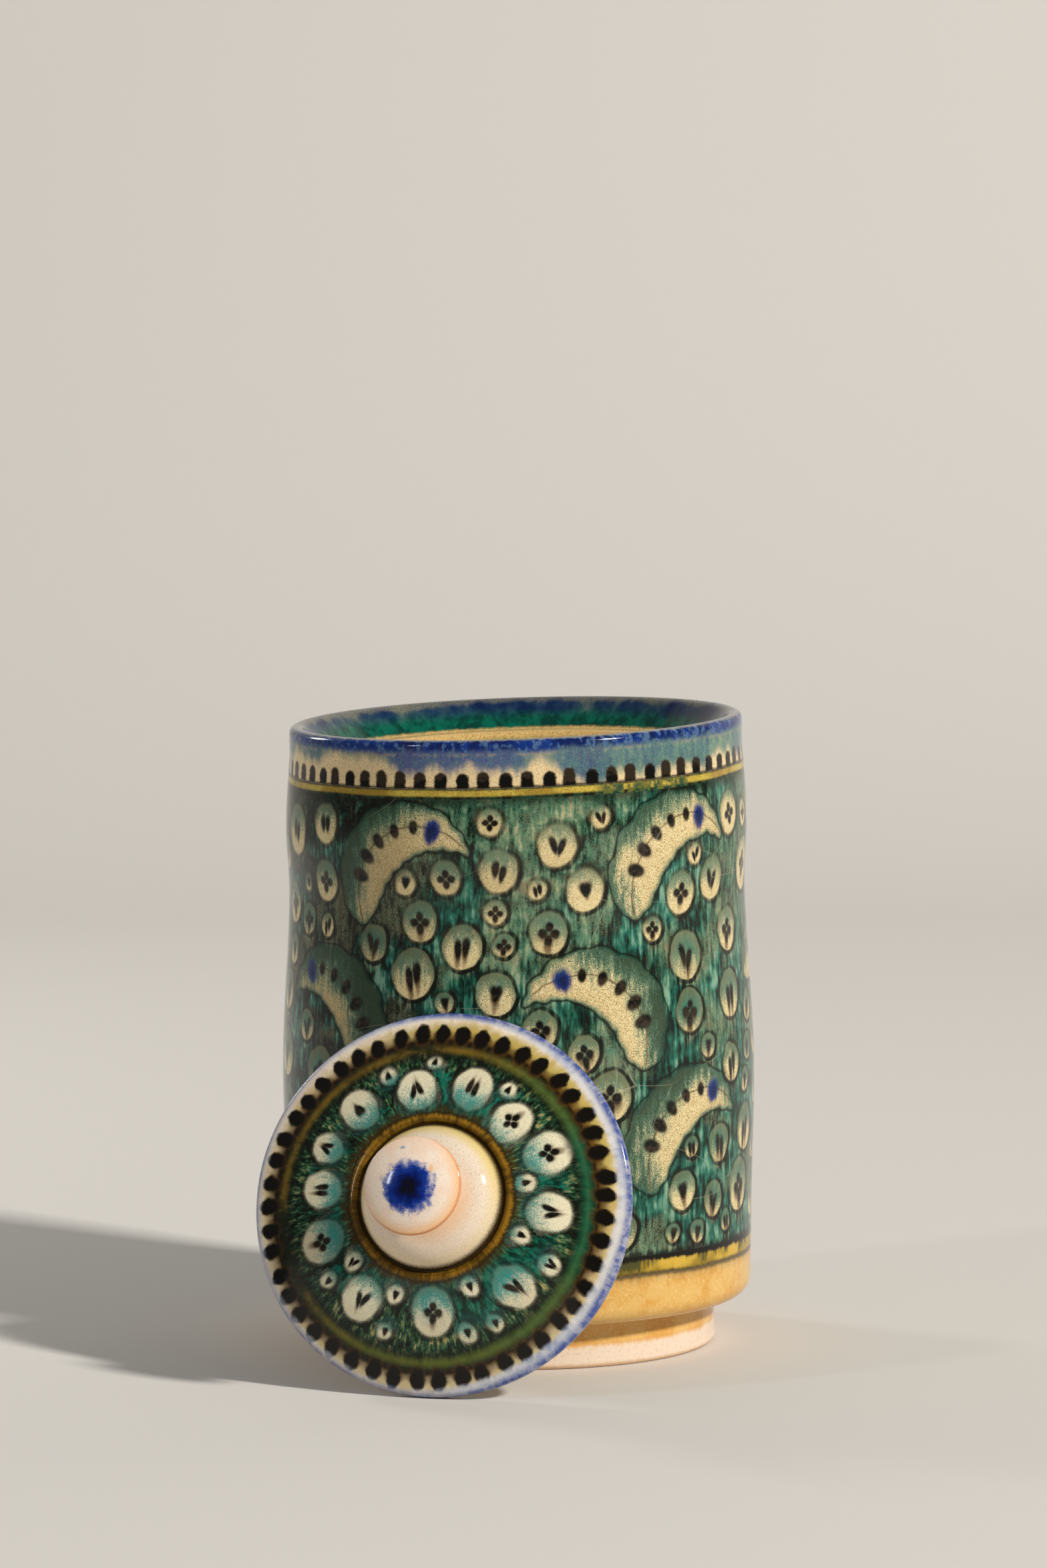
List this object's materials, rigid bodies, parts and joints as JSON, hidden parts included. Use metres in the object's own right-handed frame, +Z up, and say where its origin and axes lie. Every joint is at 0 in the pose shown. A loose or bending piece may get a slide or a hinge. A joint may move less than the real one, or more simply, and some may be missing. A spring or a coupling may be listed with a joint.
{
  "type": "chocolate jar",
  "caption": "Thrown cylindrical ceramic jar on a disc foot, with a ledge inside its lip for a domed lid; the lid stands on its edge, leaning on the jar's wall.",
  "frame": {"origin": "on the jar's axis at the plane it stands on, 1.2 mm below the centre of the foot's turned recess", "axes": "+Z up along the jar's axis; the lid leans on the -Y side, 14.6 degrees round towards -X"},
  "size_m": [0.1569, 0.2072, 0.1993],
  "materials": {
    "jar_glaze": "glossy clear glaze over brushed green, cream, ochre and cobalt decoration",
    "lid_glaze": "glossy clear glaze over brushed green, cream and cobalt decoration"
  },
  "bodies": {
    "jar": {"jar": "jar_glaze"},
    "lid": {"lid": "lid_glaze"}
  },
  "joints": [
    {"name": "lid_lift", "type": "slide", "parent": "jar", "child": "lid", "axis": [0, 0, 1], "range_m": [0, 0.22]}
  ]
}
